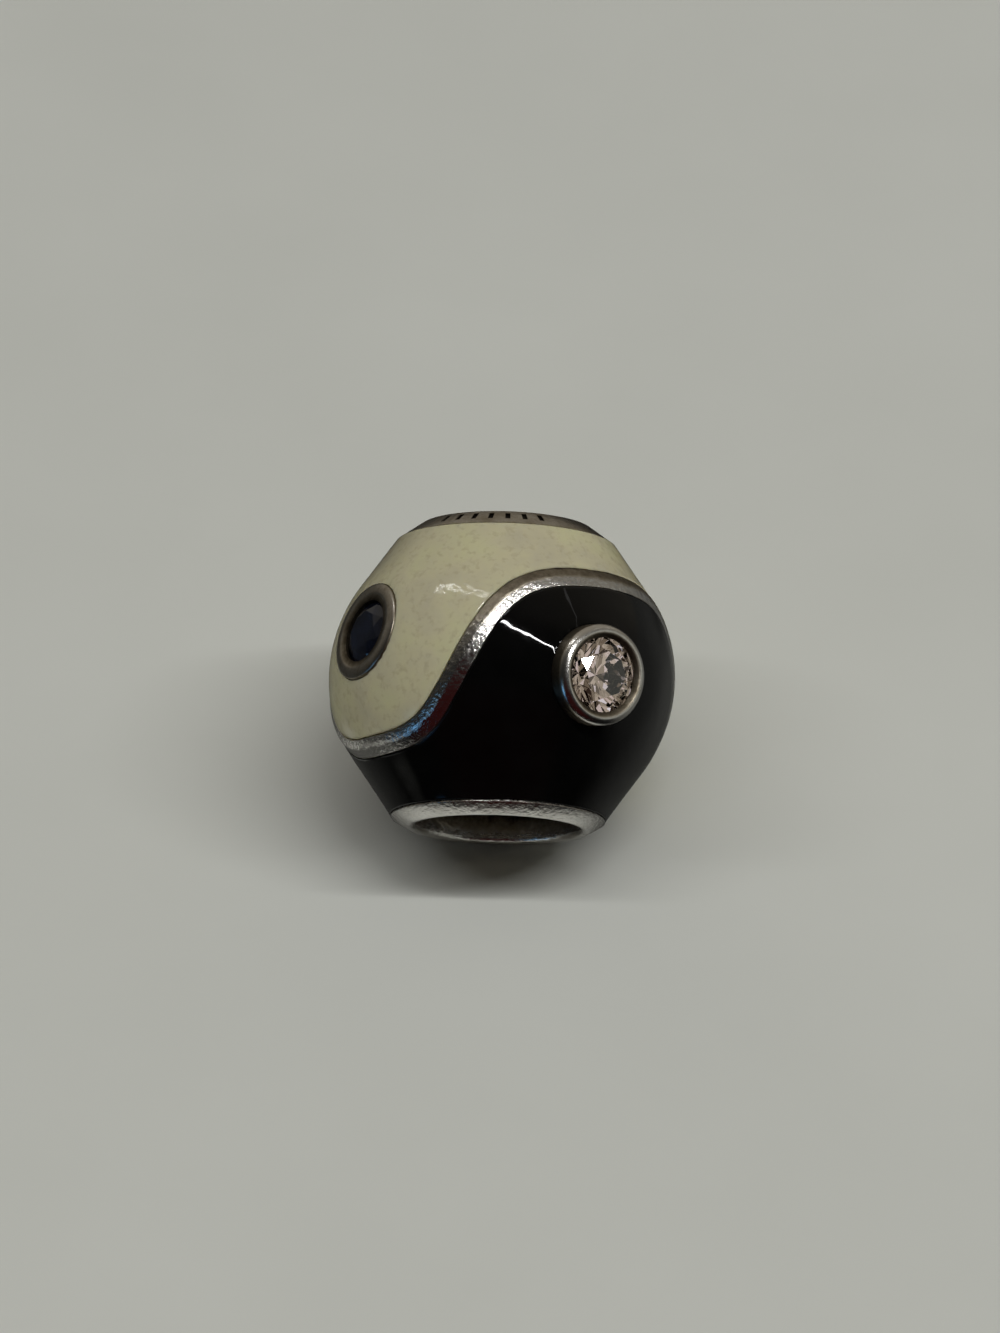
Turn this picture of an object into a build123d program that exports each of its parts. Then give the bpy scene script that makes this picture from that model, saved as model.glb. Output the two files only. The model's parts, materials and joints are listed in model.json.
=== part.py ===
from build123d import *
from math import asin, atan2, copysign, cos, degrees, pi, radians, sin, sqrt, tan, tanh
import os

# European charm bead: a bored silver barrel with two enamel fields, one cream
# and one black, parted by a raised wavy ridge that runs round the bead twice
# up and twice down. Each of the four bays of the wave holds a round cut stone
# in its own collar: clear ones in the black field, black ones in the cream.
# Lengths are in millimetres and angles in degrees. The bead is built about an
# upright thread axis, cream end up, and then laid down as it rests by itself,
# on the cone of its black end, where a shallow worn flat keeps it from rolling.

# Barrel; the belly's arc has its centre a little way out from the thread axis
bead_radius = 4.82
belly_centre = 0.52
flank_angle = 35.0
rim_radius = 3.03
bore_radius = 2.3
black_face_rise = 0.45
cream_face_rise = 0.53
black_mouth_rounding = 0.18
cream_mouth_rounding = 0.08

# Enamel in its recess
enamel_depth = 0.45
enamel_gap = 0.02
cream_enamel_rise = 0.03

# Wavy ridge between the fields; it comes down late behind the first clear stone
wave_count = 2
wave_height = 2.36
wave_squareness = 1.85
wave_lag_angle = 21.0
wave_points_per_bay = 18
ridge_width = 0.62
ridge_proud = 0.07

# Stones and their collars; heights are above the bead's own surface there
stone_gap = 0.02
clear_stone_off_middle = 0.5
black_stone_off_middle = 0.85
collar_radius = 1.4
collar_edge_rounding = 0.16
lip_thickness = 0.14
clear_stone_radius = 1.13
clear_opening_radius = 1.03
clear_collar_height = 0.33
clear_girdle_drop = 0.28
black_stone_radius = 1.0
black_opening_radius = 0.9
black_collar_height = -0.08
black_girdle_drop = 0.25

# Brilliant cut, as shares of the stone's radius, and its crown and pavilion
table_share = 0.57
star_share = 0.78
girdle_share = 0.05
pavilion_share = 0.24
crown_angle = 34.5
pavilion_angle = 41.0
cut_fold = 8

# Short ticks stamped in the rim of the cream end
tick_count = 7
tick_pitch_angle = 10.0
ticks_middle_angle = -43.0
tick_width = 0.14
tick_length = 0.36
tick_depth = 0.05

# Laid down: turned about the thread axis, then tipped onto its cone, which is
# worn flat there
lie_turn = 35.0
lie_tip = 90.0 - flank_angle
worn_flat_depth = 0.04

# What follows from the sizes
belly_arc_radius = bead_radius - belly_centre
flank_start = belly_arc_radius * sin(radians(flank_angle))
flank_start_radius = belly_centre + belly_arc_radius * cos(radians(flank_angle))
rim_height = flank_start + (flank_start_radius - rim_radius) / tan(radians(flank_angle))
cone_reach = flank_start_radius * cos(radians(flank_angle)) + flank_start * sin(radians(flank_angle))
wave_angle = 360.0 / wave_count
collar_sagitta = bead_radius - sqrt(bead_radius**2 - collar_radius**2)
overlap = 0.1
collar_depth = enamel_depth + collar_sagitta + overlap
wall_inner_share = 0.4
wall_outer_share = 1.4
silver = Color(0.78, 0.77, 0.75)
cream = Color(0.9, 0.87, 0.72)
black = Color(0.05, 0.05, 0.06)
clear = Color(0.85, 0.8, 0.8)


# The bead's outline, from the thread axis outwards
def slope_at(height):
    """Angle by which the outline faces upwards at one height, in radians."""
    if abs(height) < flank_start:
        return asin(height / belly_arc_radius)
    return copysign(radians(flank_angle), height)


def outline_point(height, lift):
    """Radius and height of the outline at one height, moved out by lift."""
    slope = slope_at(height)
    if abs(height) < flank_start:
        radius = belly_centre + belly_arc_radius * cos(slope)
    else:
        radius = flank_start_radius - (abs(height) - flank_start) * tan(abs(slope))
    return radius + lift * cos(slope), height + lift * sin(slope)


def surface_at(angle, height):
    """Radius and place on the bead, and the ways outwards, around and uphill there."""
    slope = slope_at(height)
    radius, height = outline_point(height, 0)
    radial = Vector(cos(radians(angle)), sin(radians(angle)), 0)
    place = radial * radius + Vector(0, 0, height)
    outwards = radial * cos(slope) + Vector(0, 0, sin(slope))
    around = Vector(0, 0, 1).cross(radial)
    return radius, place, outwards, around, outwards.cross(around)


def flank_end(side, lift, back):
    """Corner of the flank at the rim, moved out by lift and back along the flank."""
    angle = radians(flank_angle)
    radius = rim_radius + lift * cos(angle) + back * sin(angle)
    height = rim_height + lift * sin(angle) - back * cos(angle)
    return radius, side * height


def outline_edges(lift, back):
    """Flank, belly arc and flank again, from the bottom rim to the top rim."""
    low = outline_point(-flank_start, lift)
    middle = (bead_radius + lift, 0)
    high = outline_point(flank_start, lift)
    return [
        Line(flank_end(-1, lift, back), low),
        ThreePointArc(low, middle, high),
        Line(high, flank_end(1, lift, back)),
    ]


def turned(edges):
    """Solid of revolution about Z from edges drawn as radius and height."""
    face = Plane.XZ * make_face(edges)
    return revolve(face, Axis.Z, 360)


def enamel_band(outer_lift, inner_lift, back):
    """Whole belt between the rims, before the wave parts it."""
    outer = outline_edges(outer_lift, back)
    inner = outline_edges(inner_lift, back)
    ends = [
        Line(flank_end(side, inner_lift, back), flank_end(side, outer_lift, back))
        for side in (-1, 1)
    ]
    return turned(outer + inner + ends)


# The wave
def wave_lag(angle):
    """Degrees by which the wave comes late there, and how fast that grows."""
    past = (angle + wave_angle / 4) % 360 / wave_angle
    if past > 1:
        return 0, 0
    growth = radians(wave_lag_angle) * 180 / wave_angle * sin(2 * pi * past)
    return wave_lag_angle * sin(pi * past) ** 2, growth


def wave_point(angle, across):
    """Point of the wave on the bead's surface, moved sideways across the line."""
    lag, growth = wave_lag(angle)
    turn = radians(wave_count * (angle - lag))
    bend = tanh(wave_squareness * cos(turn))
    crest = wave_height / tanh(wave_squareness)
    climb = -crest * wave_squareness * wave_count * (1 - growth) * (1 - bend**2) * sin(turn)
    radius, place, outwards, around, uphill = surface_at(angle, crest * bend)
    along = around * radius + uphill * (climb / cos(slope_at(crest * bend)))
    return place + outwards.cross(along.normalized()) * across


def wave_wall(across):
    """Wall that stands on the wave and points at the bead's middle."""
    points = 2 * wave_count * wave_points_per_bay
    line = [wave_point(360 * step / points, across) for step in range(points)]
    inner = Wire(Spline([point * wall_inner_share for point in line], periodic=True))
    outer = Wire(Spline([point * wall_outer_share for point in line], periodic=True))
    return Shell.make_loft([inner, outer], ruled=True)


def part_above(band, across):
    pieces = band.solid().split(wave_wall(across), Keep.ALL)
    return pieces.sort_by(Axis.Z)[-1]


def part_below(band, across):
    pieces = band.solid().split(wave_wall(across), Keep.ALL)
    return pieces.sort_by(Axis.Z)[0]


# Collars and seats
def stone_plane(angle, height):
    """Plane on the bead's surface, facing straight out."""
    radius, place, outwards, around, uphill = surface_at(angle, height)
    return Plane(place, x_dir=around, z_dir=outwards)


def collar(collar_height):
    """Plain post with a rounded outer edge, from inside the core to the lip."""
    length = collar_height + collar_depth
    post = Cylinder(collar_radius, length, align=(Align.CENTER, Align.CENTER, Align.MAX))
    post = fillet(post.edges().sort_by(Axis.Z)[-1], collar_edge_rounding)
    return Pos(0, 0, collar_height) * post


def seat(stone_radius, opening_radius, collar_height, girdle_drop):
    """Pocket for the girdle and pavilion, open through the lip."""
    girdle = stone_radius * girdle_share
    wall = stone_radius + stone_gap
    girdle_top = collar_height - girdle_drop
    lip_under = collar_height - lip_thickness
    girdle_under = girdle_top - girdle - stone_gap
    tip = girdle_under - wall * tan(radians(pavilion_angle)) - stone_gap
    above = collar_height + stone_radius
    section = Polyline(
        (0, tip),
        (wall, girdle_under),
        (wall, lip_under),
        (opening_radius, lip_under),
        (opening_radius, above),
        (0, above),
        close=True,
    )
    return turned(section.edges())


# Round brilliant stone, girdle top at height 0
def brilliant(stone_radius):
    half_step = 180 / cut_fold

    def spot(share, step, height):
        around = radians(step * half_step)
        reach = share * stone_radius
        return Vector(reach * cos(around), reach * sin(around), height)

    crown = tan(radians(crown_angle)) * stone_radius
    pavilion = tan(radians(pavilion_angle)) * stone_radius
    narrow = cos(radians(half_step))
    table_height = crown * (1 - table_share)
    star_height = crown * (1 - star_share * narrow)
    girdle_under = -girdle_share * stone_radius
    lower_height = girdle_under - pavilion * (1 - pavilion_share * narrow)
    culet = Vector(0, 0, girdle_under - pavilion)

    table = [spot(table_share, 2 * turn, table_height) for turn in range(cut_fold)]
    facets = [table]
    for step in range(0, 2 * cut_fold, 2):
        top = spot(table_share, step, table_height)
        next_top = spot(table_share, step + 2, table_height)
        star = spot(star_share, step + 1, star_height)
        star_before = spot(star_share, step - 1, star_height)
        low = spot(pavilion_share, step + 1, lower_height)
        low_before = spot(pavilion_share, step - 1, lower_height)
        rim = [spot(1, step + turn, 0) for turn in (-1, 0, 1)]
        under = [spot(1, step + turn, girdle_under) for turn in (-1, 0, 1)]
        facets += [
            [top, star_before, rim[1], star],
            [top, star, next_top],
            [star_before, rim[0], rim[1]],
            [star, rim[1], rim[2]],
            [rim[0], under[0], under[1], rim[1]],
            [rim[1], under[1], under[2], rim[2]],
            [culet, low_before, under[1], low],
            [low_before, under[0], under[1]],
            [low, under[1], under[2]],
        ]
    faces = [Face(Wire.make_polygon(facet)) for facet in facets]
    return Solid(Shell(faces))


# Stamped ticks, on the rim of the cream end
def rim_ticks():
    run = rim_radius - bore_radius
    middle = (rim_radius + bore_radius) / 2
    ticks = []
    for number in range(tick_count):
        angle = ticks_middle_angle + (number - (tick_count - 1) / 2) * tick_pitch_angle
        tick = Box(tick_length, tick_width, 2 * tick_depth)
        lean = Rot(0, degrees(atan2(cream_face_rise, run)), 0)
        place = Rot(0, 0, angle) * Pos(middle, 0, rim_height + cream_face_rise / 2)
        ticks.append(place * lean * tick)
    return ticks


# Silver body
def barrel():
    low_rim = flank_end(-1, 0, 0)
    high_rim = flank_end(1, 0, 0)
    high_mouth = (bore_radius, rim_height + cream_face_rise)
    low_mouth = (bore_radius, -rim_height - black_face_rise)
    edges = outline_edges(0, 0) + [
        Line(high_rim, high_mouth),
        Line(high_mouth, low_mouth),
        Line(low_mouth, low_rim),
    ]
    circles = turned(edges).edges().filter_by(GeomType.CIRCLE).sort_by(Axis.Z)
    solid = fillet(circles[0], black_mouth_rounding)
    circles = solid.edges().filter_by(GeomType.CIRCLE).sort_by(Axis.Z)
    return fillet(circles[-1], cream_mouth_rounding)


def ridge():
    band = enamel_band(ridge_proud, -enamel_depth - overlap, 0)
    return part_above(part_below(band, ridge_width / 2), -ridge_width / 2)


clear_places = [
    stone_plane(wave_angle * number, -clear_stone_off_middle) for number in range(wave_count)
]
black_places = [
    stone_plane(wave_angle * (number + 0.5), black_stone_off_middle)
    for number in range(wave_count)
]
clear_post = collar(clear_collar_height)
black_post = collar(black_collar_height)
clear_seat = seat(clear_stone_radius, clear_opening_radius, clear_collar_height, clear_girdle_drop)
black_seat = seat(black_stone_radius, black_opening_radius, black_collar_height, black_girdle_drop)

silver_body = barrel() - enamel_band(overlap, -enamel_depth, 0) + ridge()
for plane in clear_places:
    silver_body = silver_body + plane * clear_post - plane * clear_seat
for plane in black_places:
    silver_body = silver_body + plane * black_post - plane * black_seat
for tick in rim_ticks():
    silver_body = silver_body - tick

# Turn it about its own axis until the first clear stone is up and to the
# right, then tip the black end forwards and down, with the bore's middle kept
# at the origin
lay = Rot(-lie_tip, 0, 0) * Rot(0, 0, lie_turn - 90)
below = Box(
    4 * bead_radius, 4 * bead_radius, bead_radius, align=(Align.CENTER, Align.CENTER, Align.MAX)
)
worn_away = lay.inverse() * Pos(0, 0, worn_flat_depth - cone_reach) * below
silver_body = silver_body - worn_away

# Enamel fields, clear of the silver by the gap
collar_hole = Cylinder(collar_radius + enamel_gap, 2 * collar_depth)
cream_band = enamel_band(cream_enamel_rise, enamel_gap - enamel_depth, enamel_gap)
black_band = enamel_band(0, enamel_gap - enamel_depth, enamel_gap)
cream_enamel = part_above(cream_band, ridge_width / 2 + enamel_gap)
black_enamel = part_below(black_band, -ridge_width / 2 - enamel_gap)
for plane in black_places:
    cream_enamel = cream_enamel - plane * collar_hole
for plane in clear_places:
    black_enamel = black_enamel - plane * collar_hole
black_enamel = black_enamel - worn_away

# Stones
clear_stone = Pos(0, 0, clear_collar_height - clear_girdle_drop) * brilliant(clear_stone_radius)
black_stone = Pos(0, 0, black_collar_height - black_girdle_drop) * brilliant(black_stone_radius)

nodes = {
    "silver_body": (silver_body, silver),
    "cream_enamel": (cream_enamel, cream),
    "black_enamel": (black_enamel, black),
}
for number, plane in enumerate(clear_places, 1):
    nodes[f"clear_stone_{number}"] = (plane * clear_stone, clear)
for number, plane in enumerate(black_places, 1):
    nodes[f"black_stone_{number}"] = (plane * black_stone, black)

os.makedirs("parts", exist_ok=True)
for name, (shape, colour) in nodes.items():
    solid = (lay * shape).solid()
    solid.label = name
    solid.color = colour
    export_step(solid, f"parts/{name}.step")
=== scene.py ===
import json
from collections import namedtuple
from math import atan2, cos, degrees, pi, radians, sin, tan, tanh

import bpy
import numpy as np
from mathutils import Matrix, Vector
from mathutils.kdtree import KDTree


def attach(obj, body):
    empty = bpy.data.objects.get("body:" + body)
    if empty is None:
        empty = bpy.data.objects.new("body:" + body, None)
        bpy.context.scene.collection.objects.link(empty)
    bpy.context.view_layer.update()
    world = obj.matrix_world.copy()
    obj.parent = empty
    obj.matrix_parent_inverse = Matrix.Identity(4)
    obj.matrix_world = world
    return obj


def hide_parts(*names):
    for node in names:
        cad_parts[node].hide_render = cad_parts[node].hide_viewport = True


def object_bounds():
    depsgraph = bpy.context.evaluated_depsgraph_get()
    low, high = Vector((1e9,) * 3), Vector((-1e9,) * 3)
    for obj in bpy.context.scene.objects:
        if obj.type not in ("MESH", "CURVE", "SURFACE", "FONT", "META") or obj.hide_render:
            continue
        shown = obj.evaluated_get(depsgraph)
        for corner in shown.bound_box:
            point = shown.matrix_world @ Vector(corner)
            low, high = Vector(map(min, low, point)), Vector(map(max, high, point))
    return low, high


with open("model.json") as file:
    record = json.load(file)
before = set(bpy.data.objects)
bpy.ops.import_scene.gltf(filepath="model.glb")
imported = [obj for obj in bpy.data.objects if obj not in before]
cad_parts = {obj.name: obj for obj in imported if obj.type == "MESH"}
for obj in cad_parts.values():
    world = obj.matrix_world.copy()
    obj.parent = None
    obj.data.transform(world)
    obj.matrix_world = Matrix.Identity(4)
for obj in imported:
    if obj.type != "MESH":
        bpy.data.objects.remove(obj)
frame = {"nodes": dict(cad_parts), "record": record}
cad_low, cad_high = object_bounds()

# European charm bead: a silver barrel with a cream and a black enamel field,
# parted by a wavy ridge, and four round stones in collars. The lengths given
# below are in millimetres and the angles in degrees.
MM = 0.001

# Barrel
bore = next(mount for mount in frame["record"]["mounts"] if mount["kind"] == "bore")
bead_radius = 4.82
belly_centre = 0.52
flank_angle = 35.0
rim_radius = 3.03
bore_radius = bore["dims"]["r_mm"]
black_face_rise = 0.45
cream_face_rise = 0.53
black_mouth_rounding = 0.18
cream_mouth_rounding = 0.08
bore_wall_start = 1.0

# Outer edge of the rims: its rounding, and in shares of it the points down to
# the recess and the crown between edge and face
rim_edge_rounding = 0.06
rim_edge_drops = (4, 2, 1)
rim_crown_out = 0.25
rim_crown_up = 0.2

# Enamel
enamel_depth = 0.45
enamel_gap = 0.02
enamel_edge_rounding = 0.05
cream_level = 0.03
cream_edge_drop = 0.035
black_level = -0.05
black_edge_drop = 0.02
hole_reach = 2.0

# The black enamel's climb towards what borders it, and how far off about a third of it is left
ridge_climb = 0.05
ridge_climb_reach = 0.35
rim_climb = 0.015
rim_climb_reach = 0.3
collar_climb = 0.05
collar_climb_reach = 0.25

# Wavy ridge. Places across it are shares of its half width, one at the cream edge.
wave_count = 2
wave_height = 2.36
wave_squareness = 1.85
wave_lag_angle = 21.0
ridge_width = 0.62
ridge_proud = 0.07
ridge_root = 0.12
ridge_cream_side = 0.02
ridge_black_side = -0.025
ridge_side_sink = 0.03
ridge_wear = 0.05
ridge_wear_start = 0.1
ridge_wear_bend = 1.5
ridge_shoulder_start = 0.06
ridge_shoulder_bend = 1.12
cream_half_shares = [1, 0.95, 0.85, 0.6, 0.3, 0.05]
black_half_shares = [-0.1, -0.2, -0.28, -0.36, -0.45, -0.6, -0.75, -0.88, -0.96, -1]

# Uneven edges of the ridge: how far they stray, how often their waves run round the bead,
# and how fast the shorter waves die away
ridge_edge_waver = 0.02
waver_turns = range(5, 90, 3)
waver_fall = 0.7

# Stones and collars
clear_stone_off_middle = 0.5
black_stone_off_middle = 0.85
collar_radius = 1.4
collar_root = 0.75
clear_opening_radius = 1.03
clear_stone_radius = 1.13
clear_collar_height = 0.33
clear_girdle_drop = 0.28
clear_shoulder_fall = 0.24
clear_lip_fall = 0.13
black_opening_radius = 0.9
black_stone_radius = 1.0
black_collar_height = -0.08
black_girdle_drop = 0.25
black_shoulder_fall = 0.1
black_lip_fall = 0.05
collar_shoulder_share = 0.6
collar_shoulder_end_angle = 84
collar_lip_thickness = 0.14
seat_gap = 0.02
girdle_share = 0.05
pavilion_angle = 41.0

# Inside of a collar: steps in and down from the crown, then the foot of the slope
crown_steps = ((0.02, 0.004), (0.06, 0.02))
slope_foot_out = 0.03
slope_foot_share = 0.6
slope_overcut = 0.02

# Ticks stamped in the far rim
tick_count = 7
tick_pitch_angle = 10.0
ticks_middle_angle = -43.0
tick_width = 0.14
tick_length = 0.36
tick_depth = 0.05

# Fineness of the meshes
barrel_steps = 512
recess_points = 33
bore_points = 15
mouth_points = 9
ridge_steps = 1440
field_steps = 1080
field_rows = 48
field_underside_stride = 6
collar_shoulder_points = 13
collar_steps = 160
silver_sharp_angle = 28
enamel_sharp_angle = 35

# Another number than the collars': the cut stalls where seat and collar edges line up
seat_steps = 157

# Tarnish of the silver: nothing where it is rubbed bright, one where it is black.
# The tables hold pairs of a place and the tarnish there; some of it is painted light and
# shade. The one for the ridge's top by share holds how much of the tarnish by height shows.
plain_tarnish = 0.2
cream_face_tarnish = 0.34
black_face_tarnish = 0.05
tick_tarnish = 1.0
recess_tarnish = 0.9
clear_crown_tarnish = 0.08
# The slopes from the collars' lips down to the stones are darkened as painted shade.
clear_slope_shade = 0.7
black_crown_tarnish = 0.3
black_slope_shade = 0.75
# Inside the bore: bright at the mouth, a black band of painted shade a little further in, paler deeper.
bore_tarnish_and_shade_by_height = ((-4.1, 0.05), (-3.75, 0.25), (-3.5, 1.0), (-3.2, 1.0), (-2.7, 0.3))
# Tarnish on the ridge's top, partly real and partly painted shade, grows towards the crest; the trough
# is kept pale as painted light. It shows on the cream side, not on the black side's shoulder.
ridge_top_tarnish_and_shade_by_height = ((-2.0, 0.0), (0.0, 0.12), (1.2, 0.5), (2.0, 0.6))
ridge_top_tarnish_and_shade_by_share = ((-0.4, 0), (0.05, 1))
ridge_black_seam = ((-1.05, 0.9), (-0.97, 0.3), (-0.85, 0.0))
ridge_cream_seam = ((0.85, 0.0), (0.97, 0.35), (1.05, 0.9))

# A collar's tarnish outwards from its middle: the floor, the edge of the opening, the
# slope, darkened as painted shade, the crown and the foot
collar_floor_tarnish = 0.15
opening_edge_tarnish = 0.3
opening_edge_width = 0.05
slope_shade_width = 0.11
crown_tarnish_start = 0.16
crown_tarnish_end = 0.02
collar_foot_tarnish = 0.7

# Where the parts of the silver end, to tell them apart by place
ridge_end_share = 1.12
collar_slack = 0.01
collar_deepest = -1.6
collar_highest = 1.0
end_slack = 0.02
tick_inset = 0.1
tick_sink = 0.03
bore_mouth_length = 0.1
recess_sink = 0.2
recess_inset = 0.2

# Dents of the silver, one on the ridge and in the bore
collar_dents = 0.15
cream_face_dents = 0.5
black_face_dents = 0.8

# Lie
lie_turn = 35.0
lie_tip = 90.0 - flank_angle
floor_height = cad_low.z / MM
lay = Matrix.Rotation(radians(-lie_tip), 4, "X") @ Matrix.Rotation(radians(lie_turn - 90), 4, "Z")

# Camera, from the photograph: pixels in its own 1000 by 1333 frame. The sensor's length
# is that of its upright side.
photo_height = 1333
camera_distance = 200.0
camera_elevation = 44.0
camera_yaw = 2.1
pixels_per_mm = 35.72
axis_left_of_centre = 0.057
axis_above_centre = 0.422
sensor_length = 36.0

# What follows from the sizes
flank = radians(flank_angle)
belly_arc_radius = bead_radius - belly_centre
flank_start = belly_arc_radius * sin(flank)
flank_start_radius = belly_centre + belly_arc_radius * cos(flank)
rim_height = flank_start + (flank_start_radius - rim_radius) / tan(flank)
belly_run = belly_arc_radius * flank
rim_run = belly_run + (rim_height - flank_start) / cos(flank)
bead_ends = {1: rim_height + cream_face_rise, -1: rim_height + black_face_rise}
mouth_roundings = {1: cream_mouth_rounding, -1: black_mouth_rounding}
wave_crest = wave_height / tanh(wave_squareness)
wave_angle = 360 / wave_count


# Outline of the barrel, by the run along it from the middle
def run_at(height):
    """Run along the outline up to each height."""
    flat = np.clip(height, -flank_start, flank_start)
    return belly_arc_radius * np.arcsin(flat / belly_arc_radius) + (height - flat) / cos(flank)


def outline(run, lift):
    """Radius and height on the outline at each run, moved out by lift."""
    slope = np.clip(run / belly_arc_radius, -flank, flank)
    beyond = run - slope * belly_arc_radius
    radius = belly_centre + belly_arc_radius * np.cos(slope) - np.abs(beyond) * sin(flank)
    height = belly_arc_radius * np.sin(slope) + beyond * cos(flank)
    return radius + lift * np.cos(slope), height + lift * np.sin(slope)


def on_bead(angle, run, lift):
    """Points on the bead: angle round the axis in radians, run and lift."""
    radius, height = outline(run, lift)
    return np.stack([radius * np.cos(angle), radius * np.sin(angle), height], -1)


# The wave
def wave_line(angle):
    """Points of the wave, and the way across it towards the cream."""
    # Way through the one wave whose fall comes late, then its lag and how the lag grows
    past = ((angle + pi / wave_count / 2) % (2 * pi)) * wave_count / (2 * pi)
    lag = radians(wave_lag_angle) * np.where(past < 1, np.sin(pi * past) ** 2, 0)
    growth = radians(wave_lag_angle) * wave_count / 2 * np.where(past < 1, np.sin(2 * pi * past), 0)
    turn = wave_count * (angle - lag)
    bend = np.tanh(wave_squareness * np.cos(turn))
    steepness = wave_crest * wave_squareness * wave_count
    climb = -steepness * (1 - growth) * (1 - bend**2) * np.sin(turn)
    run = run_at(wave_crest * bend)
    slope = np.clip(run / belly_arc_radius, -flank, flank)
    radius = outline(run, 0)[0]
    radial = np.stack([np.cos(angle), np.sin(angle), 0 * angle], -1)
    around = np.stack([-np.sin(angle), np.cos(angle), 0 * angle], -1)
    upright = np.array([0, 0, 1.0])
    outwards = radial * np.cos(slope)[:, None] + upright * np.sin(slope)[:, None]
    uphill = np.cross(outwards, around)
    along = around * radius[:, None] + uphill * (climb / np.cos(slope))[:, None]
    along /= np.linalg.norm(along, axis=1)[:, None]
    return on_bead(angle, run, 0), np.cross(outwards, along)


def waver(angle, seed):
    """Small uneven offset round the bead, the same at both ends of the turn."""
    numbers = np.random.default_rng(seed)
    total = np.zeros_like(angle)
    for turns in waver_turns:
        wave = numbers.normal() * np.sin(turns * angle + numbers.uniform(0, 2 * pi))
        total += wave / turns**waver_fall
    return total / np.abs(total).max()


ridge_angles = np.arange(ridge_steps) * (2 * pi / ridge_steps)
ridge_middle, ridge_across = wave_line(ridge_angles)
ridge_up = ridge_width / 2 + ridge_edge_waver * waver(ridge_angles, seed=3)
ridge_down = -ridge_width / 2 + ridge_edge_waver * waver(ridge_angles, seed=4)


def beside_ridge(offset):
    """Angle and run of the line that lies offset across from the wave."""
    points = ridge_middle + ridge_across * offset[:, None]
    return np.arctan2(points[:, 1], points[:, 0]), run_at(points[:, 2])


def run_beside(offset, angles):
    """Run of that line at each of the angles."""
    at, run = beside_ridge(offset)
    order = np.argsort(at)
    return np.interp(angles, at[order], run[order], period=2 * pi)


# Meshes
def mesh_piece(name, points, faces):
    """New piece in the scene from rows of points and faces."""
    mesh = bpy.data.meshes.new(name)
    mesh.from_pydata(points.tolist(), [], faces)
    mesh.update()
    piece = bpy.data.objects.new(name, mesh)
    bpy.context.scene.collection.objects.link(piece)
    return piece


def points_of(mesh):
    """The mesh's points as rows of three numbers."""
    points = np.zeros(len(mesh.vertices) * 3, np.float32)
    mesh.vertices.foreach_get("co", points)
    return points.reshape(-1, 3)


def closed_grid(name, rows):
    """Closed skin from rows of points that run round the bead, the last row joined to the first."""
    row_count, column_count, _ = rows.shape
    faces = []
    for row in range(row_count):
        this = row * column_count
        above = (row + 1) % row_count * column_count
        for column in range(column_count):
            beside = (column + 1) % column_count
            faces.append((this + column, this + beside, above + beside, above + column))
    return mesh_piece(name, rows.reshape(-1, 3), faces)


def turned_ring(name, profile, steps):
    """Ring turned about Z from a closed profile of radius and height."""
    angles = np.arange(steps) * (2 * pi / steps)
    profile = np.array(profile)
    ring = np.stack([np.cos(angles), np.sin(angles), 0 * angles], -1)
    upright = np.array([0, 0, 1.0])
    return closed_grid(name, profile[:, 0, None, None] * ring + profile[:, 1, None, None] * upright)


def turned_post(name, profile, steps, place):
    """Post turned about Z from a profile that starts and ends on the axis, then put in its place."""
    angles = np.arange(steps) * (2 * pi / steps)
    low, *middle, high = profile
    points = [(0, 0, low[1])]
    points += [(r * cos(a), r * sin(a), z) for r, z in middle for a in angles]
    points.append((0, 0, high[1]))
    last = 1 + (len(middle) - 1) * steps
    faces = []
    for column in range(steps):
        beside = (column + 1) % steps
        faces.append((0, 1 + beside, 1 + column))
        for row in range(len(middle) - 1):
            this = 1 + row * steps
            above = this + steps
            faces.append((this + column, this + beside, above + beside, above + column))
        faces.append((last + column, last + beside, len(points) - 1))
    post = mesh_piece(name, np.array(points), faces)
    post.data.transform(place)
    return post


def arc(centre, radius, start, end, steps):
    """Points of an arc in radius and height, angles in degrees from outwards to up."""
    turns = np.radians(np.linspace(start, end, steps))
    return [(centre[0] + radius * cos(turn), centre[1] + radius * sin(turn)) for turn in turns]


def combine(piece, operation, others):
    """Adds or cuts the other pieces, which are then removed."""
    for other in others:
        change = piece.modifiers.new("combine", "BOOLEAN")
        change.operation = operation
        change.solver = "MANIFOLD"
        change.object = other
    graph = bpy.context.evaluated_depsgraph_get()
    result = bpy.data.meshes.new_from_object(piece.evaluated_get(graph))
    old = piece.data
    piece.modifiers.clear()
    piece.data = result
    bpy.data.meshes.remove(old)
    for other in others:
        mesh = other.data
        bpy.data.objects.remove(other)
        bpy.data.meshes.remove(mesh)
    return piece


def nearest_among(points):
    """Tree that finds the nearest of the points."""
    tree = KDTree(len(points))
    for number, point in enumerate(points):
        tree.insert(point, number)
    tree.balance()
    return tree


# Places and sizes of the collars
def stone_place(angle, height):
    """Matrix from a plane on the bead's surface, facing straight out, to the bead."""
    run = run_at(np.array(height))
    slope = float(np.clip(run / belly_arc_radius, -flank, flank))
    turn = radians(angle)
    radial = Vector((cos(turn), sin(turn), 0))
    outwards = radial * cos(slope) + Vector((0, 0, sin(slope)))
    around = Vector((0, 0, 1)).cross(radial)
    axes = Matrix((around, outwards.cross(around), outwards)).transposed().to_4x4()
    return Matrix.Translation(Vector(on_bead(turn, run, 0.0))) @ axes


def places_round(shift, height):
    """A place on each wave, at one height and shifted round by a share of the wave."""
    return [stone_place(wave_angle * (number + shift), height) for number in range(wave_count)]


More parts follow.
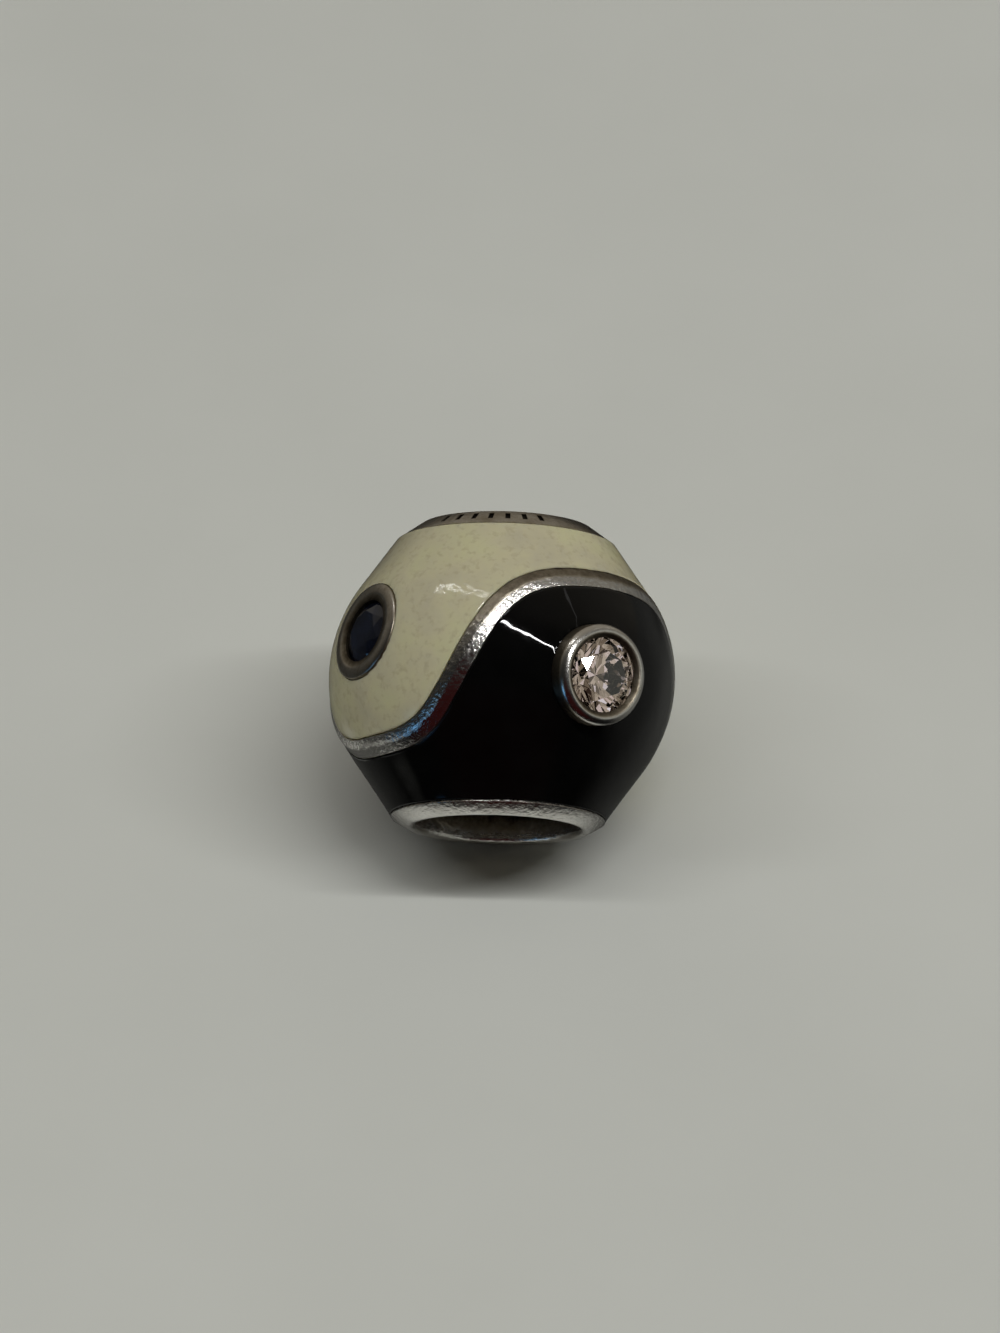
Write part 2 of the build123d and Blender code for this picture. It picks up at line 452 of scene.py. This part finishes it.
Setting = namedtuple(
    "Setting",
    "places opening stone top girdle_drop shoulder_fall lip_fall crown_tarnish slope_tarnish",
)
clear_setting = Setting(
    places=places_round(0, -clear_stone_off_middle),
    opening=clear_opening_radius,
    stone=clear_stone_radius,
    top=clear_collar_height,
    girdle_drop=clear_girdle_drop,
    shoulder_fall=clear_shoulder_fall,
    lip_fall=clear_lip_fall,
    crown_tarnish=clear_crown_tarnish,
    slope_tarnish=clear_slope_shade,
)
black_setting = Setting(
    places=places_round(0.5, black_stone_off_middle),
    opening=black_opening_radius,
    stone=black_stone_radius,
    top=black_collar_height,
    girdle_drop=black_girdle_drop,
    shoulder_fall=black_shoulder_fall,
    lip_fall=black_lip_fall,
    crown_tarnish=black_crown_tarnish,
    slope_tarnish=black_slope_shade,
)
both_settings = (clear_setting, black_setting)


# Silver: core, ridge, collars, seats and ticks
def rim_end(side):
    """Profile from the recess over one rim and its face into the bore."""
    rounding = rim_edge_rounding
    mouth_rounding = mouth_roundings[side]
    face_lean = atan2(bead_ends[side] - rim_height, rim_radius - bore_radius)
    edge_run = np.array(rim_run * side)
    edge = [tuple(float(v) for v in outline(edge_run, -rounding * drop)) for drop in rim_edge_drops]
    face_start = (
        rim_radius - rounding * cos(face_lean),
        side * (rim_height + rounding * sin(face_lean)),
    )
    crown = tuple((a + b) / 2 for a, b in zip(edge[-1], face_start))
    crown = (crown[0] + rounding * rim_crown_out, crown[1] + side * rounding * rim_crown_up)
    mouth_turn = degrees(pi / 2 - face_lean)
    mouth_fall = mouth_rounding * (1 + sin(face_lean)) / cos(face_lean)
    centre = (bore_radius + mouth_rounding, bead_ends[side] - mouth_fall)
    mouth = arc(centre, mouth_rounding, mouth_turn, 180, mouth_points)
    return edge + [crown, face_start] + [(r, side * z) for r, z in mouth]


def core():
    """Bored barrel with the recess for the enamel all round."""
    recess_runs = np.linspace(-rim_run, rim_run, recess_points)
    recess = list(zip(*outline(recess_runs, -enamel_depth)))
    wall_heights = np.linspace(
        bead_ends[1] - bore_wall_start, bore_wall_start - bead_ends[-1], bore_points
    )
    wall = [(bore_radius, height) for height in wall_heights]
    profile = recess + rim_end(1) + wall + rim_end(-1)[::-1]
    return turned_ring("silver", profile[::-1], barrel_steps)


def ridge():
    """Wavy strip with a worn flat top and a shoulder that falls to the black side."""
    across = np.array(cream_half_shares + black_half_shares)
    worn = ((across - ridge_wear_start) / (1 - ridge_wear_start)).clip(0) ** ridge_wear_bend
    past_start = (ridge_shoulder_start - across) / (1 + ridge_shoulder_start)
    fallen = past_start.clip(0) ** ridge_shoulder_bend
    top = ridge_proud - ridge_wear * worn - (ridge_proud - ridge_black_side) * fallen
    top[0] = ridge_cream_side - ridge_side_sink
    top[-1] = ridge_black_side - ridge_side_sink
    root = -enamel_depth - ridge_root
    rows = []
    for share, lift in [(1, root), *zip(across, top), (-1, root)]:
        middle = (ridge_up + ridge_down) / 2
        offset = middle + share * (ridge_up - ridge_down) / 2
        angle, run = beside_ridge(offset)
        rows.append(on_bead(angle, run, lift))
    return closed_grid("ridge", np.array(rows)[::-1])


def collar(setting, place):
    """Post with a rounded shoulder and a lip that slopes down to the stone."""
    top = setting.top
    crown = collar_radius - collar_shoulder_share * (collar_radius - setting.opening)
    wide = collar_radius - crown
    shoulder = [
        (collar_radius - wide * (1 - cos(turn)), top - setting.shoulder_fall * (1 - sin(turn)))
        for turn in np.radians(np.linspace(0, collar_shoulder_end_angle, collar_shoulder_points))
    ]
    profile = [(0, -collar_root), (collar_radius, -collar_root), *shoulder]
    profile += [(crown - inwards, top - down) for inwards, down in crown_steps]
    profile.append((setting.opening + slope_foot_out, top - setting.lip_fall * slope_foot_share))
    profile.append((setting.opening - slope_overcut, top - setting.lip_fall))
    profile.append((0, top - setting.lip_fall))
    return turned_post("collar", profile, collar_steps, place)


def seat(setting, place):
    """Pocket for the stone, open through the lip."""
    wall = setting.stone + seat_gap
    girdle_under = setting.top - setting.girdle_drop - setting.stone * girdle_share - seat_gap
    tip = girdle_under - wall * tan(radians(pavilion_angle)) - seat_gap
    lip_under = setting.top - collar_lip_thickness
    above = setting.top + setting.stone
    profile = [(0, tip), (wall, girdle_under), (wall, lip_under)]
    profile += [(setting.opening, lip_under), (setting.opening, above), (0, above)]
    return turned_post("seat", profile, seat_steps, place)


def tick(number):
    """Cutter for one stamped tick in the far rim."""
    middle = (rim_radius + bore_radius) / 2
    lean = atan2(cream_face_rise, rim_radius - bore_radius)
    angle = radians(ticks_middle_angle + (number - (tick_count - 1) / 2) * tick_pitch_angle)
    half = Vector((tick_length / 2, tick_width / 2, tick_depth))
    corners = [
        (x, y, z)
        for x in (-half.x, half.x)
        for y in (-half.y, half.y)
        for z in (-half.z, half.z)
    ]
    faces = [(0, 1, 3, 2), (4, 6, 7, 5), (0, 4, 5, 1), (2, 3, 7, 6), (0, 2, 6, 4), (1, 5, 7, 3)]
    cutter = mesh_piece("tick", np.array(corners), faces)
    on_face = Matrix.Translation((middle, 0, rim_height + cream_face_rise / 2))
    place = Matrix.Rotation(angle, 4, "Z") @ on_face
    cutter.data.transform(place @ Matrix.Rotation(lean, 4, "Y"))
    return cutter


def silver_piece():
    """The one cast piece, with its pockets and ticks cut."""
    posts = [collar(setting, place) for setting in both_settings for place in setting.places]
    seats = [seat(setting, place) for setting in both_settings for place in setting.places]
    piece = combine(core(), "UNION", [ridge(), *posts])
    return combine(piece, "DIFFERENCE", seats + [tick(number) for number in range(tick_count)])


# Enamel
def distance_to_collars(places, points):
    """Distance from each point to the nearest collar's wall, nothing inside it."""
    nearest = np.full(points.shape[:-1], np.inf)
    for place in places:
        centre = np.array(place.translation)
        nearest = np.minimum(nearest, np.linalg.norm(points - centre, axis=-1) - collar_radius)
    return nearest.clip(0)


def distance_to_line(line, points):
    """Distance from each point to the nearest of the line's points."""
    tree = nearest_among(line)
    distances = [tree.find(point)[2] for point in points.reshape(-1, 3)]
    return np.array(distances).reshape(points.shape[:-1])


def field(name, side, border, level_of, places):
    """Enamel between the ridge and one rim, with holes for its collars."""
    angles = np.arange(field_steps) * (2 * pi / field_steps)
    rim = rim_run - enamel_gap
    border_run = run_beside(border, angles)
    shares = 0.5 - 0.5 * np.cos(np.linspace(0, pi, field_rows))
    runs = border_run[None, :] + (side * rim - border_run)[None, :] * shares[:, None]
    angles = np.broadcast_to(angles, runs.shape)
    surface = on_bead(angles, runs, 0)
    from_border = distance_to_line(on_bead(*beside_ridge(border), 0), surface)
    from_rim = np.abs(side * rim - runs)
    from_collar = distance_to_collars(places, surface)
    outer = on_bead(angles, runs, level_of(from_border, from_rim, from_collar))
    stride = field_underside_stride
    inner = on_bead(angles[::stride], runs[::stride], enamel_gap - enamel_depth)[::-1]
    rows = np.concatenate([outer, inner])
    piece = closed_grid(name, rows if side < 0 else rows[::-1])
    radius = collar_radius + enamel_gap
    profile = [(0, -hole_reach), (radius, -hole_reach), (radius, hole_reach), (0, hole_reach)]
    holes = [turned_post("hole", profile, collar_steps, place) for place in places]
    return combine(piece, "DIFFERENCE", holes)


def rounded(*distances):
    """One at the nearest border and nothing past the rounding of the edge."""
    nearest = np.minimum.reduce(distances)
    return (1 - nearest / enamel_edge_rounding).clip(0, 1) ** 2


def cream_level_of(from_border, from_rim, from_collar):
    """Level of the cream enamel, lower at its edges."""
    return cream_level - cream_edge_drop * rounded(from_border, from_rim, from_collar)


def black_level_of(from_border, from_rim, from_collar):
    """Level of the black enamel, which climbs towards what borders it."""
    climb = ridge_climb * np.exp(-from_border / ridge_climb_reach)
    climb += rim_climb * np.exp(-from_rim / rim_climb_reach)
    climb += collar_climb * np.exp(-from_collar / collar_climb_reach)
    edge_drop = black_edge_drop * rounded(from_border, from_rim, from_collar)
    return black_level + climb.clip(0, ridge_climb) - edge_drop


# Laying down, with each point's place on the upright bead kept for the materials
def lay_down(piece, sharp_angle):
    """Turns and scales the piece into the frame, with nothing below the floor."""
    mesh = piece.data
    place = mesh.attributes.new("place", "FLOAT_VECTOR", "POINT")
    place.data.foreach_set("vector", points_of(mesh).ravel())
    mesh.transform(lay)
    laid = points_of(mesh)
    laid[:, 2] = laid[:, 2].clip(floor_height)
    mesh.vertices.foreach_set("co", (laid * MM).ravel())
    mesh.shade_smooth()
    mesh.set_sharp_from_angle(angle=radians(sharp_angle))
    mesh.update()
    return piece


# Tarnish with painted light and shade, and dents, kept at each point of the silver before it is laid
# down
def read_off(table, values):
    """The table's second column at each value of its first, by straight lines."""
    places, amounts = zip(*table)
    return np.interp(values, places, amounts)


def collar_tarnish_and_shade(setting, away):
    """Tarnish of a collar by the distance from its middle, with painted shade on the slope to the
    stone.
    """
    table = (
        (0, collar_floor_tarnish),
        (setting.opening - opening_edge_width, opening_edge_tarnish),
        (setting.opening, setting.slope_tarnish),
        (setting.opening + slope_shade_width, setting.slope_tarnish),
        (setting.opening + crown_tarnish_start, setting.crown_tarnish),
        (collar_radius - crown_tarnish_end, setting.crown_tarnish),
        (collar_radius + collar_slack, collar_foot_tarnish),
    )
    return read_off(table, away)


def share_across_ridge(points):
    """Place of each point across the ridge, as a share of its half width."""
    tree = nearest_among(ridge_middle)
    nearest = [tree.find(point)[1] for point in points]
    across = ((points - ridge_middle[nearest]) * ridge_across[nearest]).sum(1)
    return across / (ridge_width / 2)


def from_stone_place(place, points):
    """Distance of each point from the axis of the stone's place, and its height over it."""
    inward = place.inverted()
    flat = points @ np.array(inward.to_3x3()).T + np.array(inward.translation)
    return np.hypot(flat[:, 0], flat[:, 1]), flat[:, 2]


def lift_of(radius, height):
    """Lift of each point over the outline."""
    slope = np.clip(run_at(height) / belly_arc_radius, -flank, flank)
    return (radius - belly_centre) * np.cos(slope) + height * np.sin(slope) - belly_arc_radius


def keep_tarnish_and_shade(piece):
    """Works out tarnish with painted light and shade, and dents at each point, from where on the bead
    it lies.
    """
    mesh = piece.data
    points = points_of(mesh).astype(float)
    radius, height = np.hypot(points[:, 0], points[:, 1]), points[:, 2]
    tarnish = np.full(len(points), plain_tarnish)
    dents = np.ones(len(points))

    share = share_across_ridge(points)
    on_ridge = (np.abs(share) < ridge_end_share) & (np.abs(height) < rim_height)
    # The ridge's top: tarnish with painted shade towards the crest and painted light in the trough
    top = read_off(ridge_top_tarnish_and_shade_by_height, height) * read_off(ridge_top_tarnish_and_shade_by_share, share)
    seam = read_off(ridge_black_seam + ridge_cream_seam, share)
    tarnish = np.where(on_ridge, seam + top, tarnish)

    for setting in both_settings:
        for place in setting.places:
            away, over = from_stone_place(place, points)
            on_collar = away < collar_radius + collar_slack
            on_collar &= (over > collar_deepest) & (over < collar_highest)
            tarnish = np.where(on_collar, collar_tarnish_and_shade(setting, away), tarnish)
            dents = np.where(on_collar, collar_dents, dents)

    cream_end = height > rim_height - end_slack
    black_end = height < -rim_height + end_slack
    face_height = (rim_radius - radius) * cream_face_rise / (rim_radius - bore_radius)
    in_tick = cream_end & (radius > bore_radius + tick_inset)
    in_tick &= height - rim_height - face_height < -tick_sink
    tarnish = np.where(cream_end, cream_face_tarnish, tarnish)
    tarnish = np.where(in_tick, tick_tarnish, tarnish)
    tarnish = np.where(black_end, black_face_tarnish, tarnish)
    dents = np.where(cream_end, cream_face_dents, dents)
    dents = np.where(black_end, black_face_dents, dents)

    in_bore = radius < bore_radius + end_slack
    in_bore &= np.abs(height) < bead_ends[-1] - bore_mouth_length
    # The bore's black band a little way in is painted shade
    tarnish = np.where(in_bore, read_off(bore_tarnish_and_shade_by_height, height), tarnish)

    in_recess = lift_of(radius, height) < -recess_sink
    in_recess &= radius > bore_radius + recess_inset
    in_recess &= ~cream_end & ~black_end & ~on_ridge
    tarnish = np.where(in_recess, recess_tarnish, tarnish)

    for name, values in (("tarnish", tarnish), ("dented", dents)):
        kept = mesh.attributes.new(name, "FLOAT", "POINT")
        kept.data.foreach_set("value", values.astype(np.float32))
    return piece


# Nodes
def material(name):
    """New material, its node tree and its shader."""
    made = bpy.data.materials.new(name)
    made.use_nodes = True
    return made, made.node_tree, made.node_tree.nodes["Principled BSDF"]


def node(tree, kind, **settings):
    """New node with its settings."""
    made = tree.nodes.new(kind)
    for key, value in settings.items():
        setattr(made, key, value)
    return made


def feed(tree, socket, value):
    """Links a socket into the input, or sets a plain value on it."""
    if isinstance(value, bpy.types.NodeSocket):
        tree.links.new(value, socket)
    else:
        socket.default_value = value


def maths(tree, operation, *values):
    """Result of a sum on sockets or numbers."""
    made = node(tree, "ShaderNodeMath", operation=operation)
    for socket, value in zip(made.inputs, values):
        feed(tree, socket, value)
    return made.outputs["Value"]


def vector_maths(tree, operation, output, *values):
    """Result of a sum on sockets or vectors."""
    made = node(tree, "ShaderNodeVectorMath", operation=operation)
    for socket, value in zip(made.inputs, values):
        feed(tree, socket, value)
    return made.outputs[output]


def fade(tree, source, nothing_at, full_at):
    """Soft step of the source, from nothing to one."""
    made = node(tree, "ShaderNodeMapRange", interpolation_type="SMOOTHSTEP")
    made.inputs["From Min"].default_value = nothing_at
    made.inputs["From Max"].default_value = full_at
    tree.links.new(source, made.inputs["Value"])
    return made.outputs["Result"]


def noise(tree, source, scale, detail, rough=0.55):
    """Noise by the source's place."""
    made = node(tree, "ShaderNodeTexNoise")
    made.inputs["Scale"].default_value = scale
    made.inputs["Detail"].default_value = detail
    made.inputs["Roughness"].default_value = rough
    tree.links.new(source, made.inputs["Vector"])
    return made.outputs["Fac"]


def ramp(tree, source, stops):
    """Colour ramp with (position, colour) stops; a number as colour is a grey."""
    made = node(tree, "ShaderNodeValToRGB")
    elements = made.color_ramp.elements
    while len(elements) < len(stops):
        elements.new(0.5)
    for element, (position, colour) in zip(elements, stops):
        element.position = position
        element.color = (*colour, 1) if isinstance(colour, tuple) else (colour, colour, colour, 1)
    tree.links.new(source, made.inputs["Fac"])
    return made.outputs["Color"]


def mix(tree, factor, first, second):
    """Blend from the first colour to the second, each a socket or a plain colour."""
    made = node(tree, "ShaderNodeMix", data_type="RGBA")
    for key, kind, value in (("Factor", "VALUE", factor), ("A", "RGBA", first), ("B", "RGBA", second)):
        socket = next(s for s in made.inputs if s.name == key and s.type == kind)
        feed(tree, socket, (*value, 1) if isinstance(value, tuple) else value)
    return next(s for s in made.outputs if s.type == "RGBA")


def bump(tree, shader, heights):
    """Bump from (source, strength, distance) in turn, distances in metres."""
    normal = None
    for source, strength, distance in heights:
        made = node(tree, "ShaderNodeBump")
        made.inputs["Strength"].default_value = strength
        made.inputs["Distance"].default_value = distance
        tree.links.new(source, made.inputs["Height"])
        if normal:
            tree.links.new(normal, made.inputs["Normal"])
        normal = made.outputs["Normal"]
    tree.links.new(normal, shader.inputs["Normal"])


def kept_at_points(tree, name, output):
    """What the mesh keeps at its points: place in millimetres on the upright bead, tarnish with painted
    light and shade, or dents.
    """
    return node(tree, "ShaderNodeAttribute", attribute_name=name).outputs[output]


# Materials
def silver_material():
    """Worn silver that darkens and roughens with its tarnish, which also carries painted light and
    shade.
    """
    made, tree, shader = material("worn_silver")
    place = kept_at_points(tree, "place", "Vector")
    shader.inputs["Metallic"].default_value = 1.0
    blotch = noise(tree, place, scale=2.2, detail=5, rough=0.6)
    grain = noise(tree, place, scale=11.0, detail=4, rough=0.6)
    # The tarnish holds painted shade on the ridge's crest, the collars' slopes and a band in the bore,
    # and painted light in the ridge's trough
    level = kept_at_points(tree, "tarnish", "Fac")
    for source, strength in ((blotch, 0.55), (grain, 0.3)):
        shift = maths(tree, "MULTIPLY_ADD", source, strength, -strength / 2)
        level = maths(tree, "ADD", level, shift)
    stops = [
        (0.0, (0.83, 0.81, 0.78)),
        (0.2, (0.70, 0.67, 0.62)),
        (0.45, (0.42, 0.37, 0.29)),
        (0.75, (0.14, 0.115, 0.08)),
        (0.95, (0.012, 0.010, 0.008)),
    ]
    tree.links.new(ramp(tree, level, stops), shader.inputs["Base Color"])
    rough = ramp(tree, level, [(0.0, 0.2), (0.3, 0.3), (0.8, 0.5)])
    tree.links.new(rough, shader.inputs["Roughness"])
    hammering = noise(tree, place, scale=6.0, detail=3, rough=0.6)
    dents = maths(tree, "MULTIPLY", hammering, kept_at_points(tree, "dented", "Fac"))
    bump(tree, shader, [(blotch, 0.1, 0.00005), (dents, 0.5, 0.00007)])
    return made


def cream_material():
    """Glossy cream enamel with faint brown dirt."""
    made, tree, shader = material("cream_enamel")
    place = kept_at_points(tree, "place", "Vector")
    shader.inputs["IOR"].default_value = 1.45
    broad = noise(tree, place, scale=0.7, detail=3)
    stops = [
        (0.3, (0.56, 0.52, 0.37)),
        (0.5, (0.62, 0.58, 0.385)),
        (0.7, (0.64, 0.62, 0.38)),
    ]
    fine = noise(tree, place, scale=5.0, detail=4)
    dirt = ramp(tree, fine, [(0.52, 0.0), (0.75, 0.5)])
    tone = mix(tree, dirt, ramp(tree, broad, stops), (0.40, 0.34, 0.22))
    tree.links.new(tone, shader.inputs["Base Color"])
    shader.inputs["Roughness"].default_value = 0.1
    shader.inputs["Subsurface Weight"].default_value = 0.25
    shader.inputs["Subsurface Radius"].default_value = (0.0006, 0.0005, 0.0003)
    shader.inputs["Subsurface Scale"].default_value = 1.0
    ripple = noise(tree, place, scale=1.8, detail=2)
    bump(tree, shader, [(broad, 0.2, 0.0002), (ripple, 0.25, 0.00006)])
    return made


def black_material():
    """Glossy black enamel."""
    made, tree, shader = material("black_enamel")
    place = kept_at_points(tree, "place", "Vector")
    shader.inputs["IOR"].default_value = 1.38
    broad = noise(tree, place, scale=0.8, detail=2)
    tone = ramp(tree, broad, [(0.3, 0.0015), (0.7, 0.003)])
    tree.links.new(tone, shader.inputs["Base Color"])
    fine = noise(tree, place, scale=9.0, detail=4)
    rough = ramp(tree, fine, [(0.3, 0.02), (0.8, 0.06)])
    tree.links.new(rough, shader.inputs["Roughness"])
    bump(tree, shader, [(broad, 0.1, 0.0002)])
    return made


def clear_gem_material():
    """Clear stone with a faint cloud."""
    made, tree, shader = material("clear_gem")
    shader.inputs["Transmission Weight"].default_value = 1.0
    shader.inputs["IOR"].default_value = 2.15
    shader.inputs["Roughness"].default_value = 0.0
    source = node(tree, "ShaderNodeTexCoord").outputs["Object"]
    cloud = noise(tree, source, scale=900.0, detail=2)
    tone = ramp(tree, cloud, [(0.3, (0.97, 0.93, 0.93)), (0.7, (1.0, 0.98, 0.98))])
    tree.links.new(tone, shader.inputs["Base Color"])
    return made


def black_gem_material():
    """Polished black stone with a faint blue cloud."""
    made, tree, shader = material("black_gem")
    source = node(tree, "ShaderNodeTexCoord").outputs["Object"]
    cloud = noise(tree, source, scale=1100.0, detail=2)
    tone = ramp(tree, cloud, [(0.35, (0.004, 0.005, 0.009)), (0.7, (0.008, 0.012, 0.028))])
    tree.links.new(tone, shader.inputs["Base Color"])
    shader.inputs["IOR"].default_value = 1.77
    shader.inputs["Roughness"].default_value = 0.05
    return made


# The bead's pieces
cream_border = ridge_up + enamel_gap
black_border = ridge_down - enamel_gap
silver = lay_down(keep_tarnish_and_shade(silver_piece()), silver_sharp_angle)
cream = field("cream_glaze", 1, cream_border, cream_level_of, black_setting.places)
lay_down(cream, enamel_sharp_angle)
black = field("black_glaze", -1, black_border, black_level_of, clear_setting.places)
lay_down(black, enamel_sharp_angle)
for piece, stands_for, slot_name, surface in (
    (silver, "silver_body", "silver", silver_material()),
    (cream, "cream_enamel", "cream_enamel", cream_material()),
    (black, "black_enamel", "black_enamel", black_material()),
):
    piece.data.materials.clear()
    piece.data.materials.append(surface)
    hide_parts(stands_for)
    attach(piece, "root")

clear_gem = clear_gem_material()
black_gem = black_gem_material()
for name, stone in frame["nodes"].items():
    if "stone" not in name:
        continue
    gem = clear_gem if name.startswith("clear") else black_gem
    for slot in stone.material_slots:
        slot.link = "OBJECT"
        slot.material = gem

# Camera
focal_pixels = pixels_per_mm * camera_distance
tilt = radians(camera_elevation)
yaw = radians(camera_yaw)
right = Vector((cos(yaw), sin(yaw), 0))
forward = Vector((-sin(yaw) * cos(tilt), cos(yaw) * cos(tilt), -sin(tilt)))
upward = right.cross(forward)
camera_data = bpy.data.cameras.new("camera")
camera_data.sensor_width = sensor_length
camera_data.lens = focal_pixels * sensor_length / photo_height
camera_data.clip_start = 0.01
camera_data.clip_end = 10.0
camera = bpy.data.objects.new("camera", camera_data)
bpy.context.scene.collection.objects.link(camera)
aside = right * -axis_left_of_centre + upward * axis_above_centre
camera_place = Matrix((right, upward, -forward)).transposed().to_4x4()
camera.matrix_world = Matrix.Translation((aside - forward * camera_distance) * MM) @ camera_place
bpy.context.scene.camera = camera

# Floor: pale paper. The bead's gloss mirrors it in these ellipses alone: middle, half
# widths, the shares of them where it starts and ends to fade, and how strongly.
floor_half_width = 900.0
floor_reflections = (
    ((0, 3), (16, 12), (0.4, 1.0), 0.2),
    ((-12.7, -6), (4.8, 4.5), (0.2, 1.0), 1.0),
    ((-8.5, -0.3), (2.2, 2.2), (0.2, 1.0), 1.0),
    ((-0.5, -5), (6, 4.5), (0.5, 1.15), 1.0),
)
floor_level = floor_height * MM


def floor_material():
    """Matt paper that glossy rays pass through outside the ellipses."""
    made, tree, shader = material("pale_paper")
    source = node(tree, "ShaderNodeTexCoord").outputs["Object"]
    grain = noise(tree, source, scale=90.0, detail=4)
    tone = ramp(tree, grain, [(0.3, (0.70, 0.715, 0.665)), (0.7, (0.73, 0.745, 0.695))])
    tree.links.new(tone, shader.inputs["Base Color"])
    shader.inputs["Roughness"].default_value = 0.9
    shader.inputs["Specular IOR Level"].default_value = 0.1

    shown = 0.0
    for middle, half_widths, (inner, outer), strength in floor_reflections:
        centre = (middle[0] * MM, middle[1] * MM, floor_level)
        widths = (half_widths[0] * MM, half_widths[1] * MM, 1.0)
        place = vector_maths(tree, "SUBTRACT", "Vector", source, centre)
        share = vector_maths(tree, "DIVIDE", "Vector", place, widths)
        distance = vector_maths(tree, "LENGTH", "Value", share)
        inside = fade(tree, distance, nothing_at=outer, full_at=inner)
        shown = maths(tree, "MAXIMUM", shown, maths(tree, "MULTIPLY", inside, strength))

    is_glossy = node(tree, "ShaderNodeLightPath").outputs["Is Glossy Ray"]
    blend = node(tree, "ShaderNodeMixShader")
    passing = maths(tree, "MULTIPLY", maths(tree, "SUBTRACT", 1.0, shown), is_glossy)
    tree.links.new(passing, blend.inputs["Fac"])
    tree.links.new(shader.outputs["BSDF"], blend.inputs[1])
    tree.links.new(node(tree, "ShaderNodeBsdfTransparent").outputs["BSDF"], blend.inputs[2])
    tree.links.new(blend.outputs["Shader"], tree.nodes["Material Output"].inputs["Surface"])
    return made


reach = floor_half_width * MM
floor_plan = ((-reach, -reach), (reach, -reach), (reach, reach), (-reach, reach))
floor = mesh_piece("floor", np.array([(x, y, floor_level) for x, y in floor_plan]), [(0, 1, 2, 3)])
floor.data.materials.append(floor_material())

# Light: thin tubes over the bead. Each row has the name, both ends as shares of the
# height, the width, the power in watts, and the kind of rays that see the tube.
tube_height = 400.0
tubes = (
    ("tube_right", (0.0, -0.23), (1.05, -0.23), 16, 0.92, "diffuse"),
    ("tube_left", (-1.05, -0.23), (0.0, -0.23), 16, 0.42, "diffuse"),
    ("tube_bright", (0.13, -0.152), (1.05, -0.53), 9, 0.85, "glossy"),
    ("tube_back", (-0.85, 0.76), (-0.1, 0.28), 9, 0.16, "glossy"),
    ("tube_faint", (0.8, 0.73), (3.84, 4.01), 8, 0.05, "glossy"),
    ("tube_faint_side", (0.8, 0.73), (0.98, 0.16), 8, 0.004, "glossy"),
)


def tube(name, start, end, width, power, seen):
    """Area light between its two ends, facing the bead."""
    first, last = (Vector((x * tube_height, y * tube_height, tube_height)) for x, y in (start, end))
    middle = (first + last) / 2
    light = bpy.data.lights.new(name, "AREA")
    light.shape = "RECTANGLE"
    light.size = (last - first).length * MM
    light.size_y = width * MM
    light.energy = power
    lamp = bpy.data.objects.new(name, light)
    bpy.context.scene.collection.objects.link(lamp)
    along = (last - first).normalized()
    back = (middle - along * middle.dot(along)).normalized()
    axes = Matrix((along, back.cross(along), back)).transposed().to_4x4()
    lamp.matrix_world = Matrix.Translation(middle * MM) @ axes
    lamp.visible_glossy = seen == "glossy"
    lamp.visible_diffuse = seen == "diffuse"
    lamp.visible_transmission = False


for row in tubes:
    tube(*row)

# Surroundings, by direction alone: patches of the room that the bead mirrors. Each row has
# the azimuth from the front and the elevation, the angles off that middle where it starts
# and ends to fade, and the colour.
upper_patches = (
    ((88, 8), (12, 34), (0.30, 0.30, 0.27)),
)
lower_patches = (
    ((110, -15), (15, 50), (0.13, 0.13, 0.12)),
    ((-120, -25), (15, 60), (0.035, 0.035, 0.032)),
)
level_patches = (
    ((0, 0), (25, 45), (0.02, 0.003, 0.003)),
    ((-43, 11), (5, 10), (0.12, 0.19, 0.25)),
    ((-51, -5), (6, 12), (0.22, 0.55, 1.0)),
)


def surroundings():
    """World that is paler behind the bead and dark in front and below."""
    world = bpy.data.worlds.new("room")
    bpy.context.scene.world = world
    world.use_nodes = True
    tree = world.node_tree
    background = tree.nodes["Background"]
    direction = node(tree, "ShaderNodeTexCoord").outputs["Generated"]
    split = node(tree, "ShaderNodeSeparateXYZ")
    tree.links.new(direction, split.inputs[0])

    def patch(middle, angles):
        """One inside a cone of directions, falling to nothing at its outer angle."""
        azimuth, elevation = (radians(angle) for angle in middle)
        inner, outer = (cos(radians(angle)) for angle in angles)
        towards = (sin(azimuth) * cos(elevation), -cos(azimuth) * cos(elevation), sin(elevation))
        nearness = vector_maths(tree, "DOT_PRODUCT", "Value", direction, towards)
        return fade(tree, nearness, nothing_at=outer, full_at=inner)

    def with_patches(colour, patches):
        """The colour with each of the patches laid over it in turn."""
        for middle, angles, patch_colour in patches:
            colour = mix(tree, patch(middle, angles), colour, patch_colour)
        return colour

    room_stops = [
        (0.0, (0.012, 0.012, 0.011)),
        (0.45, (0.05, 0.047, 0.040)),
        (1.0, (0.22, 0.20, 0.165)),
    ]
    upper = with_patches(ramp(tree, patch((180, 20), (20, 110)), room_stops), upper_patches)
    lower = with_patches((0.004, 0.004, 0.004), lower_patches)
    below = fade(tree, split.outputs["Z"], nothing_at=0.0, full_at=-0.15)
    room = with_patches(mix(tree, below, upper, lower), level_patches)

    # What is seen through the clear stones alone, for their sparkle
    sparkle_stops = [
        (0.34, (0.03, 0.02, 0.014)),
        (0.44, (0.18, 0.14, 0.10)),
        (0.53, (0.42, 0.36, 0.28)),
        (0.59, (0.62, 0.50, 0.45)),
        (0.64, (0.62, 0.57, 0.58)),
        (0.70, (1.2, 1.15, 1.2)),
    ]
    sparkle = ramp(tree, noise(tree, direction, scale=4.2, detail=1, rough=0.4), sparkle_stops)
    through = node(tree, "ShaderNodeLightPath").outputs["Is Transmission Ray"]
    tree.links.new(mix(tree, through, room, sparkle), background.inputs["Color"])
    background.inputs["Strength"].default_value = 1.0


surroundings()
bpy.context.scene.view_settings.view_transform = "Standard"
